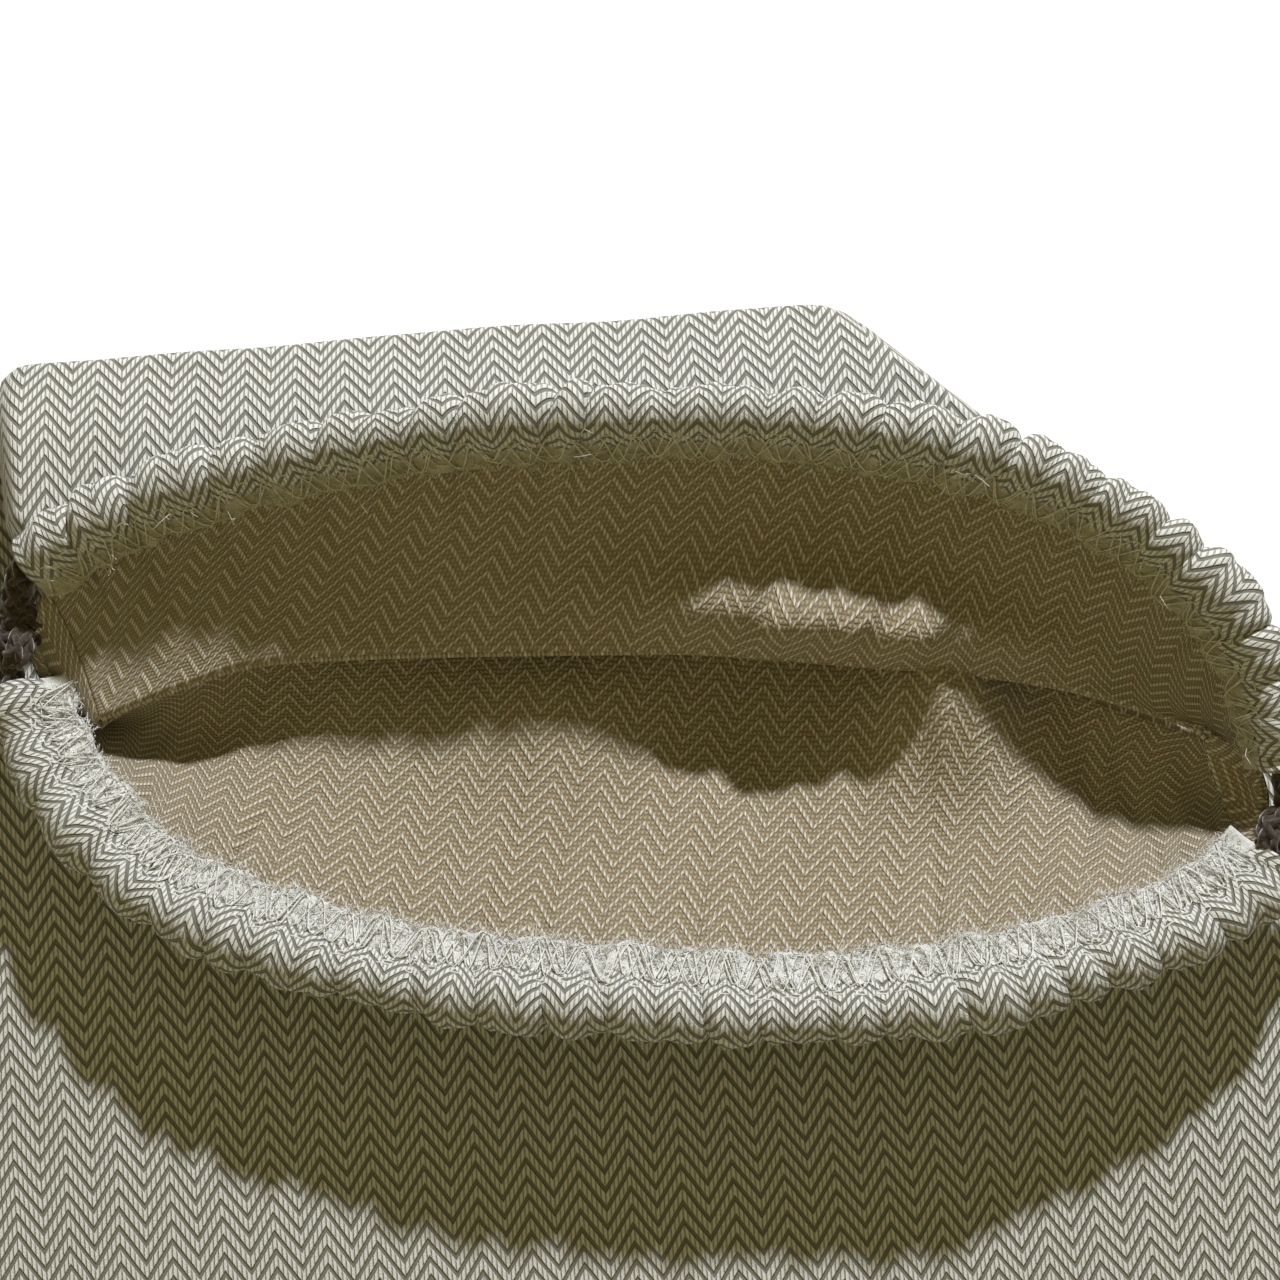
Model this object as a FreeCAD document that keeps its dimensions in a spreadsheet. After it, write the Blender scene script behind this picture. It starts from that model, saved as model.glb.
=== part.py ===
import FreeCAD, Part
import Sketcher
import math
import os

# Drawstring pouch, folded in half and lying on its back, with its mouth held open.
# Millimetres. X runs across the pouch, +Y points to the fold, Z is up.
# The origin is the middle of the footprint, on the surface the pouch lies on.

doc = FreeCAD.newDocument("drawstring_pouch")

SIZES = [
    ("pouch_width", "230", "side to side, laid flat"),
    ("folded_depth", "170", "bottom hem to the fold"),
    ("cloth", "1.0", "thickness of the woven cloth"),
    ("corner_cut", "8", "rounding of the two bottom corners"),
    ("shoulder_right", "12", "where the slanted right edge starts, along Y"),
    ("shoulder_left", "67", "where the slanted left edge starts, along Y"),
    ("fold_right", "30.5", "right end of the fold, along X"),
    ("fold_left", "-97", "left end of the fold, along X"),
    ("corner_right", "7.7", "from the right knot in to the upper layers' right edge"),
    ("corner_left", "8.7", "from the left knot in to the upper layers' left edge"),
    ("fold_radius", "4", "outer radius of the back panel's fold"),
    ("fold_slope", "28", "slope of the back panel after the fold, degrees"),
    ("slope_run", "14", "length of that slope"),
    ("shoulder_radius", "20", "radius where the slope flattens out"),
    ("inner_fold_radius", "1.6", "outer radius of the front panel's fold"),
    ("front_base_height", "2.4", "underside of the front panel's lower layer"),
    ("mouth_x", "0", "middle of the mouth, along X"),
    ("mouth_y", "17.75", "middle of the mouth, along Y"),
    ("mouth_height", "17.5", "height of the mouth's two corners"),
    ("mouth_yaw", "-13.5", "turn of the mouth about Z, degrees"),
    ("mouth_half", "99.7", "half the mouth's width, knot to knot"),
    ("back_rise", "23.5", "rise of the back rim above the mouth's corners"),
    ("front_rise", "7.5", "rise of the front rim above the mouth's corners"),
    ("throat_gap", "8", "how far the front panel's crease lies in front of the flap's"),
    ("casing_radius", "4", "outer radius of the drawstring casing"),
    ("casing_bore", "3", "inner radius of the drawstring casing"),
    ("hem_width", "5.5", "width of the hem below the casing"),
    ("overlock_radius", "0.9", "radius of the overlocked raw edge"),
    ("stitch_radius", "0.35", "radius of the hem stitch line"),
    ("cord_radius", "2.25", "radius of the drawstring"),
    ("knot_radius", "5.5", "radius of the knot at a mouth corner"),
    ("end_knot_radius", "4.6", "radius of the knot at a cord's end"),
    ("seam_width", "8", "width of the sewn seam allowance"),
    ("seam_thick", "0.8", "thickness of the seam allowance"),
    ("seam_height", "1.3", "underside of the seam allowance"),
    ("wall_thick", "3", "thickness of the upper side seams"),
]

FORMULAS = [
    ("half_width", "=pouch_width / 2"),
    ("half_depth", "=folded_depth / 2"),
    ("upper_right", "=mouth_half - corner_right"),
    ("upper_left", "=corner_left - mouth_half"),
    ("fold_y", "=half_depth - fold_radius"),
    ("right_slant", "=(half_width - fold_right) / (half_depth - shoulder_right)"),
    ("left_slant", "=(half_width + fold_left) / (half_depth - shoulder_left)"),
    ("inner_fold_y", "=fold_y - 1"),
    ("inner_fold_height", "=front_base_height + inner_fold_radius"),
    ("front_top", "=front_base_height + 2 * inner_fold_radius"),
    ("turn_cos", "=cos(mouth_yaw * 1 deg)"),
    ("turn_sin", "=sin(mouth_yaw * 1 deg)"),
]

sheet = doc.addObject("Spreadsheet::Sheet", "Sizes")
row = 1
for alias, value, note in SIZES:
    sheet.set("A%d" % row, alias)
    sheet.set("B%d" % row, value)
    sheet.set("C%d" % row, note)
    sheet.setAlias("B%d" % row, alias)
    row += 1
for alias, formula in FORMULAS:
    sheet.set("A%d" % row, alias)
    sheet.set("B%d" % row, formula)
    sheet.setAlias("B%d" % row, alias)
    row += 1
doc.recompute()

WORDS = sorted([entry[0] for entry in SIZES] + [entry[0] for entry in FORMULAS], key=len, reverse=True)


def bound(text):
    """Write an expression with every size name pointing into the sheet."""
    out = ""
    word = ""
    for letter in text + " ":
        if letter.isalnum() or letter == "_":
            word += letter
            continue
        out += "Sizes." + word if word in WORDS else word
        out += letter
        word = ""
    return out.strip()


def size(name):
    return float(sheet.get(name))


def bind(thing, **links):
    for name, text in links.items():
        thing.setExpression(name, bound(text))
    return thing


def place(thing, text):
    thing.setExpression("Placement", bound(text))
    return thing


def closed_sketch(name, corners):
    """A closed outline of straight sides whose corners follow the sheet."""
    sketch = doc.addObject("Sketcher::SketchObject", name)
    count = len(corners)
    probe = doc.addObject("App::FeaturePython", name + "_probe")
    spots = []
    for index, (across, along) in enumerate(corners):
        for kind, text in (("across", across), ("along", along)):
            label = "%s%d" % (kind, index)
            probe.addProperty("App::PropertyFloat", label)
            probe.setExpression(label, bound(text))
    probe.recompute()
    doc.recompute()
    for index in range(count):
        x = getattr(probe, "across%d" % index)
        y = getattr(probe, "along%d" % index)
        spots.append(FreeCAD.Vector(x, y, 0))
    doc.removeObject(probe.Name)
    for index in range(count):
        sketch.addGeometry(Part.LineSegment(spots[index], spots[(index + 1) % count]))
    for index in range(count):
        sketch.addConstraint(Sketcher.Constraint("Coincident", index, 2, (index + 1) % count, 1))
    for index, (across, along) in enumerate(corners):
        for kind, text, value in (("DistanceX", across, spots[index].x), ("DistanceY", along, spots[index].y)):
            number = sketch.addConstraint(Sketcher.Constraint(kind, -1, 1, index, 1, value))
            sketch.setExpression("Constraints[%d]" % number, bound(text))
    return sketch


def extrude(name, base, direction, length, solid=True):
    body = doc.addObject("Part::Extrusion", name)
    body.Base = base
    body.DirMode = "Custom"
    body.Dir = FreeCAD.Vector(*direction)
    body.Solid = solid
    bind(body, LengthFwd=length)
    return body


def join(name, parts):
    body = doc.addObject("Part::MultiFuse", name)
    body.Shapes = parts
    return body


def common(name, parts):
    body = doc.addObject("Part::MultiCommon", name)
    body.Shapes = parts
    return body


def cut(name, base, tool):
    body = doc.addObject("Part::Cut", name)
    body.Base = base
    body.Tool = tool
    return body


# Plan outlines -------------------------------------------------------------------------------

def base_outline(far, inset):
    """Lower layers: two cut bottom corners, a long slant on the right, a short one on the left."""
    right_far = "fold_right + (half_depth - (%s)) * right_slant - (%s)" % (far, inset)
    left_far = "fold_left - (half_depth - (%s)) * left_slant + (%s)" % (far, inset)
    return [
        ("-half_width + corner_cut", "-half_depth + (%s)" % inset),
        ("half_width - corner_cut", "-half_depth + (%s)" % inset),
        ("half_width - (%s)" % inset, "-half_depth + corner_cut"),
        ("half_width - (%s)" % inset, "shoulder_right"),
        (right_far, far),
        (left_far, far),
        ("-half_width + (%s)" % inset, "shoulder_left"),
        ("-half_width + (%s)" % inset, "-half_depth + corner_cut"),
    ]


# The crease where the back panel turns into the mouth flap, left to right.
CREASE = [(-84, 27), (-53, 33.5), (0, 30.5), (49, 23.5), (86, 12)]


def upper_outline(gap):
    """Upper layers: from the fold to the crease, or to a line in front of it."""
    slant_y = "half_depth - (upper_right - fold_right) / right_slant"
    front = [("%s * mouth_half / 99.7" % x, "%s - (%s)" % (y, gap)) for x, y in CREASE[1:-1]]
    return [("upper_left", "%s - (%s)" % (CREASE[0][1], gap))] + front + [
        ("upper_right", "%s - (%s)" % (CREASE[-1][1] - 2, gap)),
        ("upper_right", slant_y),
        ("fold_right - 1 * right_slant", "half_depth + 1"),
        ("upper_left", "half_depth + 1"),
    ]


# Folded sections, drawn across the fold --------------------------------------------------------

SIDE_ON = FreeCAD.Rotation(FreeCAD.Vector(0, 1, 0), FreeCAD.Vector(0, 0, 1), FreeCAD.Vector(1, 0, 0), "XYZ")


def arc_points(middle_y, middle_z, radius, start, stop, steps):
    points = []
    for step in range(steps + 1):
        turn = "((%s) + ((%s) - (%s)) * %d / %d) * 1 deg" % (start, stop, start, step, steps)
        across = "%s + (%s) * cos(%s)" % (middle_y, radius, turn)
        along = "%s + (%s) * sin(%s)" % (middle_z, radius, turn)
        points.append((across, along))
    return points


def back_section():
    """Fold, slope and flat top of the back panel, as one closed strip."""
    turn_end = "90 - fold_slope"
    outer = arc_points("fold_y", "fold_radius", "fold_radius", "-90", turn_end, 6)
    inner = arc_points("fold_y", "fold_radius", "fold_radius - cloth", "-90", turn_end, 6)
    cos_end = "cos((90 - fold_slope) * 1 deg)"
    sin_end = "sin((90 - fold_slope) * 1 deg)"
    top_y = "fold_y + (fold_radius - shoulder_radius) * %s - slope_run * %s" % (cos_end, sin_end)
    top_z = "fold_radius + (fold_radius - shoulder_radius) * %s + slope_run * %s" % (sin_end, cos_end)
    outer += arc_points(top_y, top_z, "shoulder_radius", turn_end, "90", 3)
    inner += arc_points(top_y, top_z, "shoulder_radius - cloth", turn_end, "90", 3)
    height = "%s + shoulder_radius" % top_z
    outer.append(("-40", height))
    inner.append(("-40", "%s - cloth" % height))
    return outer + inner[::-1]


def front_section():
    """Tight inner fold and flat upper layer of the front panel."""
    outer = arc_points("inner_fold_y", "inner_fold_height", "inner_fold_radius", "-90", "90", 6)
    inner = arc_points("inner_fold_y", "inner_fold_height", "inner_fold_radius - cloth", "-90", "90", 6)
    outer.append(("-40", "front_top"))
    inner.append(("-40", "front_top - cloth"))
    return outer + inner[::-1]


def folded_layer(name, section_points, offset):
    section = closed_sketch(name + "_section", section_points)
    section.Placement = FreeCAD.Placement(FreeCAD.Vector(-120, 0, 0), SIDE_ON)
    strip = extrude(name + "_strip", section, (1, 0, 0), "240")
    plan = closed_sketch(name + "_plan", upper_outline(offset))
    prism = extrude(name + "_prism", plan, (0, 0, 1), "40")
    return common(name + "_upper", [strip, prism])


def lower_layer(name, far, inset, height):
    plan = closed_sketch(name + "_base_plan", base_outline(far, inset))
    slab = extrude(name + "_base", plan, (0, 0, 1), "cloth")
    bind(plan, **{"Placement.Base.z": height})
    return slab


nodes = {}

back_base = lower_layer("back", "fold_y", "0", "0")
nodes["back_panel"] = join("back_panel", [back_base, folded_layer("back", back_section(), "0")])
front_base = lower_layer("front", "inner_fold_y", "0.5", "front_base_height")
nodes["front_panel"] = join("front_panel", [front_base, folded_layer("front", front_section(), "throat_gap - 2")])

# Seam allowances sewn between the two lower layers --------------------------------------------

STRIPS = {
    "left_seam_allowance": ("-half_width + 0.5", "-half_depth + corner_cut", "seam_width",
                            "shoulder_left + half_depth - corner_cut - 2"),
    "right_seam_allowance": ("half_width - 0.5 - seam_width", "-half_depth + corner_cut", "seam_width",
                             "shoulder_right + half_depth - corner_cut"),
    "bottom_seam_allowance": ("-half_width + corner_cut + 1", "-half_depth + 0.5",
                              "pouch_width - 2 * corner_cut - 2", "seam_width - 1"),
}
for name, (left, front, across, along) in STRIPS.items():
    strip = doc.addObject("Part::Box", name)
    bind(strip, Length=across, Width=along, Height="seam_thick")
    place(strip, "placement(vector(%s; %s; seam_height); rotation(vector(0; 0; 1); 0))" % (left, front))
    nodes[name] = strip

# Side seams that close the pouch between its upper layers -------------------------------------

top_height = "fold_radius + (fold_radius - shoulder_radius) * sin((90 - fold_slope) * 1 deg)"
top_height += " + slope_run * cos((90 - fold_slope) * 1 deg) + shoulder_radius"
wall_height = "%s - cloth - 0.3 - front_top - 0.3" % top_height
WALLS = {
    "left_side_seam": ("upper_left", "37", "17"),
    "right_side_seam": ("upper_right - wall_thick", "13", "16"),
}
for name, (left, front, along) in WALLS.items():
    wall = doc.addObject("Part::Box", name)
    bind(wall, Length="wall_thick", Width=along, Height=wall_height)
    place(wall, "placement(vector(%s; %s; front_top + 0.3); rotation(vector(0; 0; 1); 0))" % (left, front))
    nodes[name] = wall

# Rims and mouth walls -------------------------------------------------------------------------

# Middle of each casing, left to right, from the mouth's own middle.
BACK_RIM = [(-93, 33.5, 3.8), (-70, 41.5, 9.5), (-49, 44.5, 15.5), (-24, 46, 21), (0, 45, 23.5), (26, 42.5, 23.5),
            (54, 35.5, 19.5), (74, 25.5, 13.5), (88, 12.5, 8), (95, -1.5, 4.5), (96, -11.5, 3)]
FRONT_RIM = [(-97.5, 14.5, -1), (-95, 4.5, -0.5), (-88, -7.5, 1), (-74, -21.5, 3), (-40, -35.5, 5.5), (-3, -42, 7),
             (22, -45, 7.5), (50, -44, 7.5), (78, -37.5, 4.5), (92, -30.5, 1)]
BACK_FOOT = [(-78, 38), (-53, 33.5), (0, 30.5), (49, 23.5), (86, 12)]
STATIONS = 17


def vector(x, y, z):
    return FreeCAD.Vector(x, y, z)


def spline(points):
    curve = Part.BSplineCurve()
    curve.interpolate(points)
    return curve


def stations(points):
    """Even steps along a smooth line, with its heading at each."""
    edge = spline(points).toShape()
    steps = edge.discretize(STATIONS)
    headings = [edge.tangentAt(edge.Curve.parameter(step)) for step in steps]
    return steps, headings


def rim_points(side):
    table = BACK_RIM if side == "back" else FRONT_RIM
    tallest = max(z for x, y, z in table)
    wide = size("mouth_half") / 99.7
    high = size(side + "_rise") / tallest
    return [vector(x * wide, y, z * high) for x, y, z in table]


def foot_points(side):
    wide = size("mouth_half") / 99.7
    top = size("fold_radius") + size("shoulder_radius")
    away = math.radians(90 - size("fold_slope"))
    top += (size("fold_radius") - size("shoulder_radius")) * math.sin(away) + size("slope_run") * math.cos(away)
    if side == "back":
        height = top + 1.5 - size("mouth_height")
        return [vector(x * wide, y - size("mouth_y"), height) for x, y in BACK_FOOT]
    height = size("front_top") - size("mouth_height")
    return [vector(x * wide, y - size("throat_gap") - size("mouth_y"), height) for x, y in CREASE]


class Rim:
    """One side of the mouth: the rim's line, and which way is in and which way is up at each station."""

    def __init__(self, side):
        self.steps, headings = stations(rim_points(side))
        self.foot = stations(foot_points(side))[0]
        self.inward = []
        self.upward = []
        sign = -1 if side == "back" else 1
        for step, heading, foot in zip(self.steps, headings, self.foot):
            heading.normalize()
            way = foot.sub(step)
            way = way.sub(FreeCAD.Vector(heading).multiply(way.dot(heading)))
            way.normalize()
            self.inward.append(way)
            self.upward.append(heading.cross(way).multiply(sign))

    def line(self, inward, upward):
        points = []
        for step, way, up in zip(self.steps, self.inward, self.upward):
            shift = FreeCAD.Vector(way).multiply(inward).add(FreeCAD.Vector(up).multiply(upward))
            points.append(step.add(shift))
        return points

    def bar(self, inward, upward, radius):
        """A round bar along the rim."""
        points = self.line(inward, upward)
        path = Part.Wire([spline(points).toShape()])
        edge = path.Edges[0]
        circle = Part.makeCircle(radius, points[0], edge.tangentAt(edge.FirstParameter))
        return path.makePipeShell([Part.Wire([circle])], True, True)

    def band(self, first, second, thick):
        face = Part.makeRuledSurface(spline(first).toShape(), spline(second).toShape())
        return face.extrude(vector(0, 0, -thick))


def feature(name, shape):
    """A free-form piece, drawn about the mouth's middle and placed there."""
    body = doc.addObject("Part::Feature", name)
    body.Shape = shape
    place(body, "placement(vector(mouth_x; mouth_y; mouth_height); rotation(vector(0; 0; 1); 0))")
    return body


casing_radius = size("casing_radius")
hem_end = casing_radius + size("hem_width")
for side in ("back", "front"):
    rim = Rim(side)
    wall_name = "back_flap" if side == "back" else "front_lip"
    top_line = rim.line(casing_radius + 0.5, -1.2)
    nodes[wall_name] = feature(wall_name, rim.band(top_line, rim.foot, size("cloth")))
    tube_part = feature(side + "_casing_tube", rim.bar(0, 0, casing_radius))
    hem = rim.band(rim.line(casing_radius + 0.6, 1.0), rim.line(hem_end, 1.0), size("cloth"))
    nodes[side + "_hem"] = feature(side + "_hem", hem)
    tunnel = feature(side + "_tunnel", rim.bar(0, 0, size("casing_bore")))
    nodes[side + "_casing"] = cut(side + "_casing", tube_part, tunnel)
    nodes[side + "_cord"] = feature(side + "_cord", rim.bar(0, 0, size("cord_radius")))
    over = size("overlock_radius")
    nodes[side + "_hem_edge"] = feature(side + "_hem_edge", rim.bar(hem_end + 0.9 + over, 1.0, over))
    stitch = size("stitch_radius")
    nodes[side + "_hem_stitch"] = feature(side + "_hem_stitch", rim.bar(hem_end - 1.5, 1.5 + stitch, stitch))

# Corner knots, tails and end knots ------------------------------------------------------------

SIDES = {"left": -1, "right": 1}
ENDS = {"back": 1, "front": -1}


def knot_spot(sign):
    along = "%d * mouth_half" % sign
    return ("mouth_x + (%s) * turn_cos" % along, "mouth_y + (%s) * turn_sin" % along, "mouth_height")


def straight_and_round(points):
    """Straight runs joined by tangent arcs through the given corner points."""
    edges = []
    radii = []
    start = points[0]
    for index in range(1, len(points) - 1):
        here = points[index]
        back = points[index - 1].sub(here)
        ahead = points[index + 1].sub(here)
        shorter = min(back.Length, ahead.Length)
        back.normalize()
        ahead.normalize()
        half_turn = (math.pi - back.getAngle(ahead)) / 2
        reach = 0.45 * shorter
        radii.append(reach / math.tan(half_turn))
        first = here.add(FreeCAD.Vector(back).multiply(reach))
        last = here.add(FreeCAD.Vector(ahead).multiply(reach))
        middle_way = back.add(ahead)
        middle_way.normalize()
        depth = reach * math.tan(math.pi / 2 - half_turn) / math.cos(half_turn) * (1 - math.cos(half_turn))
        middle = here.add(middle_way.multiply(depth))
        edges.append(Part.makeLine(start, first))
        edges.append(Part.Arc(first, middle, last).toShape())
        start = last
    edges.append(Part.makeLine(start, points[-1]))
    return Part.Wire(edges), radii


def tube(wire, radius):
    first = wire.Edges[0]
    start = first.valueAt(first.FirstParameter)
    heading = first.tangentAt(first.FirstParameter)
    ring_wire = Part.Wire([Part.makeCircle(radius, start, heading)])
    return wire.makePipeShell([ring_wire], True, False)


def tail_points(side_sign, end_sign):
    """From the corner knot out over the edge, down to the surface, then along the pouch's side."""
    floor = size("cord_radius") - size("mouth_height") + 0.1
    steps = [
        (5.4, 3.5, -0.5),
        (20.5, 8.0, 0.5),
        (36.0, 13.5, floor),
        (46.0, 32.0, floor),
        (42.0, 54.0, floor),
        (31.0, 73.0, floor),
    ]
    return [FreeCAD.Vector(side_sign * x, end_sign * y, z) for x, y, z in steps]


for side, sign in SIDES.items():
    spot = knot_spot(sign)
    knot = doc.addObject("Part::Sphere", side + "_knot")
    bind(knot, Radius="knot_radius")
    place(knot, "placement(vector(%s; %s; %s); rotation(vector(0; 0; 1); 0))" % spot)
    nodes[side + "_knot"] = knot
    for end, way in ENDS.items():
        points = tail_points(sign, way)
        path, radii = straight_and_round(points)
        name = "%s_tail_%s" % (side, end)
        tail = doc.addObject("Part::Feature", name)
        tail.Shape = tube(path, size("cord_radius"))
        place(tail, "placement(vector(%s; %s; %s); rotation(vector(0; 0; 1); 0))" % spot)
        nodes[name] = tail
        expected = math.pi * size("cord_radius") ** 2 * path.Length
        print("%s: length %.1f mm, arc radii %s mm, tube volume %.0f of %.0f mm3"
              % (name, path.Length, [round(radius, 1) for radius in radii], tail.Shape.Volume, expected))
        last_run = points[-1].sub(points[-2])
        last_run.normalize()
        ahead = size("end_knot_radius") + 0.4
        end_spot = points[-1].add(last_run.multiply(ahead))
        lift = size("end_knot_radius") + 0.1 - size("mouth_height")
        knot_end = doc.addObject("Part::Sphere", "%s_end_knot_%s" % (side, end))
        bind(knot_end, Radius="end_knot_radius")
        move = " * placement(vector(%.3f; %.3f; %.3f); rotation(vector(0; 0; 1); 0))"
        place(knot_end, "placement(vector(%s; %s; %s); rotation(vector(0; 0; 1); 0))" % spot
              + move % (end_spot.x, end_spot.y, lift))
        nodes["%s_end_knot_%s" % (side, end)] = knot_end

doc.recompute()

os.makedirs("parts", exist_ok=True)
faults = []
for thing in doc.Objects:
    for state in thing.State:
        if state in ("Invalid", "Error"):
            faults.append("%s is %s" % (thing.Name, state))
for name, thing in nodes.items():
    thing.Label = name
    shape = thing.Shape
    if shape.isNull() or not shape.isValid():
        faults.append("%s has no valid shape" % name)
        continue
    if len(shape.Solids) != 1:
        faults.append("%s has %d solids" % (name, len(shape.Solids)))
    shape.exportStep("parts/%s.step" % name)
print("%d nodes" % len(nodes))
if faults:
    raise SystemExit("\n".join(faults))
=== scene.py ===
import math
import bpy
import numpy as np
from mathutils import Matrix, Vector


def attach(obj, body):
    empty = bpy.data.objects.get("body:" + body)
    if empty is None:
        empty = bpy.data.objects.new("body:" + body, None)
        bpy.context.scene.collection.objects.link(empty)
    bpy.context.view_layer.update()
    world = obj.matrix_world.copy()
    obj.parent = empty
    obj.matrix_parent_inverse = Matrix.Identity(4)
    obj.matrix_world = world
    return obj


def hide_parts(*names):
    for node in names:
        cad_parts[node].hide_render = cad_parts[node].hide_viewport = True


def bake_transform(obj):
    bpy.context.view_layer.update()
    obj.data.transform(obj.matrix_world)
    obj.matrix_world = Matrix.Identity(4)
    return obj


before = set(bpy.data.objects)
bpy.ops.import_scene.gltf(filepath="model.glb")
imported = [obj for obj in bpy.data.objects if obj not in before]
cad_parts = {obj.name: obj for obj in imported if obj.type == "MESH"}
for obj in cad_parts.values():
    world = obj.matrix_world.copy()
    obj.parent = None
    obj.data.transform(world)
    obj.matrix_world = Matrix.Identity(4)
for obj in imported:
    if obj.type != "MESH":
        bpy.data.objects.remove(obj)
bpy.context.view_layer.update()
MM = 0.001
TO_MM = 1000.0
SPLINE_STEPS = 24

# Camera ---------------------------------------------------------------------------------------

def set_camera(target, elevation, distance, roll, field):
    """Looks from the near side, steeply down, rolled so that the pouch lies slightly turned."""
    tilt = math.radians(elevation)
    target = np.array(target)
    place = target + distance * np.array([0, -math.cos(tilt), math.sin(tilt)])
    ahead = (target - place) / distance
    right = np.cross(ahead, [0, 0, 1])
    right /= np.linalg.norm(right)
    up = np.cross(right, ahead)
    turn = math.radians(roll)
    across = right * math.cos(turn) - up * math.sin(turn)
    upward = right * math.sin(turn) + up * math.cos(turn)
    data = bpy.data.cameras.new("camera")
    data.sensor_width = 36
    data.lens = 36 / (2 * math.tan(math.radians(field) / 2))
    data.clip_start = 0.01
    camera = bpy.data.objects.new("camera", data)
    bpy.context.scene.collection.objects.link(camera)
    matrix = np.eye(4)
    matrix[:3, 0], matrix[:3, 1], matrix[:3, 2], matrix[:3, 3] = across, upward, -ahead, place
    camera.matrix_world = Matrix(matrix.tolist())
    bpy.context.scene.camera = camera


set_camera(target=(0, 0.033, 0.015), elevation=80, distance=0.56, roll=4.4, field=20.1)

# Small tools ----------------------------------------------------------------------------------

def smooth_line(points, count):
    """A smooth line through points, resampled to even steps."""
    p = np.array(points, float)
    ends = np.vstack([2 * p[0] - p[1], p, 2 * p[-1] - p[-2]])
    out = []
    for i in range(1, len(ends) - 2):
        a, b, c, d = ends[i - 1:i + 3]
        for t in np.linspace(0, 1, SPLINE_STEPS, endpoint=False):
            out.append(0.5 * (2 * b + (c - a) * t + (2 * a - 5 * b + 4 * c - d) * t ** 2
                              + (3 * b - a - 3 * c + d) * t ** 3))
    out.append(p[-1])
    out = np.array(out)
    steps = np.r_[0, np.cumsum(np.linalg.norm(np.diff(out, axis=0), axis=1))]
    even = np.linspace(0, steps[-1], count)
    return np.stack([np.interp(even, steps, out[:, k]) for k in range(out.shape[1])], 1)


def run_length(line):
    return np.r_[0, np.cumsum(np.linalg.norm(np.diff(line, axis=0), axis=1))]


def unit(v):
    return v / np.maximum(np.linalg.norm(v, axis=-1, keepdims=True), 1e-9)


def wobble(x, seed, period):
    """Smooth, repeatable noise along x, about -1 to 1."""
    local = np.random.default_rng(seed)
    total = np.zeros_like(x, dtype=float)
    for octave in range(3):
        wave = period / (1.7 ** octave)
        total += np.sin(2 * math.pi * x / wave + local.uniform(0, 6.28)) / (1.5 ** octave)
    return total / 2.1


def new_object(name, verts, faces, materials):
    mesh = bpy.data.meshes.new(name)
    mesh.from_pydata([tuple(v) for v in np.asarray(verts) * MM], [], [tuple(f) for f in faces])
    mesh.update()
    thing = bpy.data.objects.new(name, mesh)
    bpy.context.scene.collection.objects.link(thing)
    for material in materials:
        mesh.materials.append(material)
    mesh.polygons.foreach_set("use_smooth", [True] * len(mesh.polygons))
    return thing


def cloth(name, grid, weave, materials, thick=0.8):
    """A woven sheet from a grid of points; weave holds each point's place on the flat cloth, in mm."""
    rows, cols = grid.shape[:2]
    index = np.arange(rows * cols).reshape(rows, cols)
    faces = np.stack([index[:-1, :-1], index[:-1, 1:], index[1:, 1:], index[1:, :-1]], -1).reshape(-1, 4)
    thing = new_object(name, grid.reshape(-1, 3), faces, materials)
    layer = thing.data.uv_layers.new(name="weave")
    flat = weave.reshape(-1, 2)
    spots = np.empty(len(thing.data.loops), int)
    thing.data.loops.foreach_get("vertex_index", spots)
    layer.data.foreach_set("uv", (flat[spots] * MM).ravel())
    solid = thing.modifiers.new("thickness", "SOLIDIFY")
    solid.thickness = thick * MM
    solid.offset = 0
    solid.use_even_offset = False
    solid.material_offset = 1
    apply_all(thing)
    return thing


def apply_all(thing):
    bpy.context.view_layer.update()
    graph = bpy.context.evaluated_depsgraph_get()
    mesh = bpy.data.meshes.new_from_object(thing.evaluated_get(graph))
    thing.modifiers.clear()
    old = thing.data
    thing.data = mesh
    bpy.data.meshes.remove(old)


def tube_mesh(lines, radius, sides=6):
    """Round threads along many lines, as one list of points and faces."""
    verts, faces = [], []
    for line in lines:
        line = np.asarray(line, float)
        base = len(verts)
        ahead = unit(np.gradient(line, axis=0))
        side = np.cross(ahead, [0.13, 0.31, 0.94])
        side = unit(side)
        other = np.cross(ahead, side)
        radii = np.full(len(line), radius, float) if np.isscalar(radius) else np.asarray(radius)
        for i in range(len(line)):
            for k in range(sides):
                a = 2 * math.pi * k / sides
                verts.append(line[i] + radii[i] * (math.cos(a) * side[i] + math.sin(a) * other[i]))
        for i in range(len(line) - 1):
            for k in range(sides):
                n = (k + 1) % sides
                faces.append((base + i * sides + k, base + i * sides + n,
                              base + (i + 1) * sides + n, base + (i + 1) * sides + k))
        faces.append(tuple(base + k for k in reversed(range(sides))))
        faces.append(tuple(base + (len(line) - 1) * sides + k for k in range(sides)))
    return verts, faces


def threads(name, lines, radius, material, sides=6):
    verts, faces = tube_mesh(lines, radius, sides)
    return new_object(name, verts, faces, [material])

# Materials ------------------------------------------------------------------------------------

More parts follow.
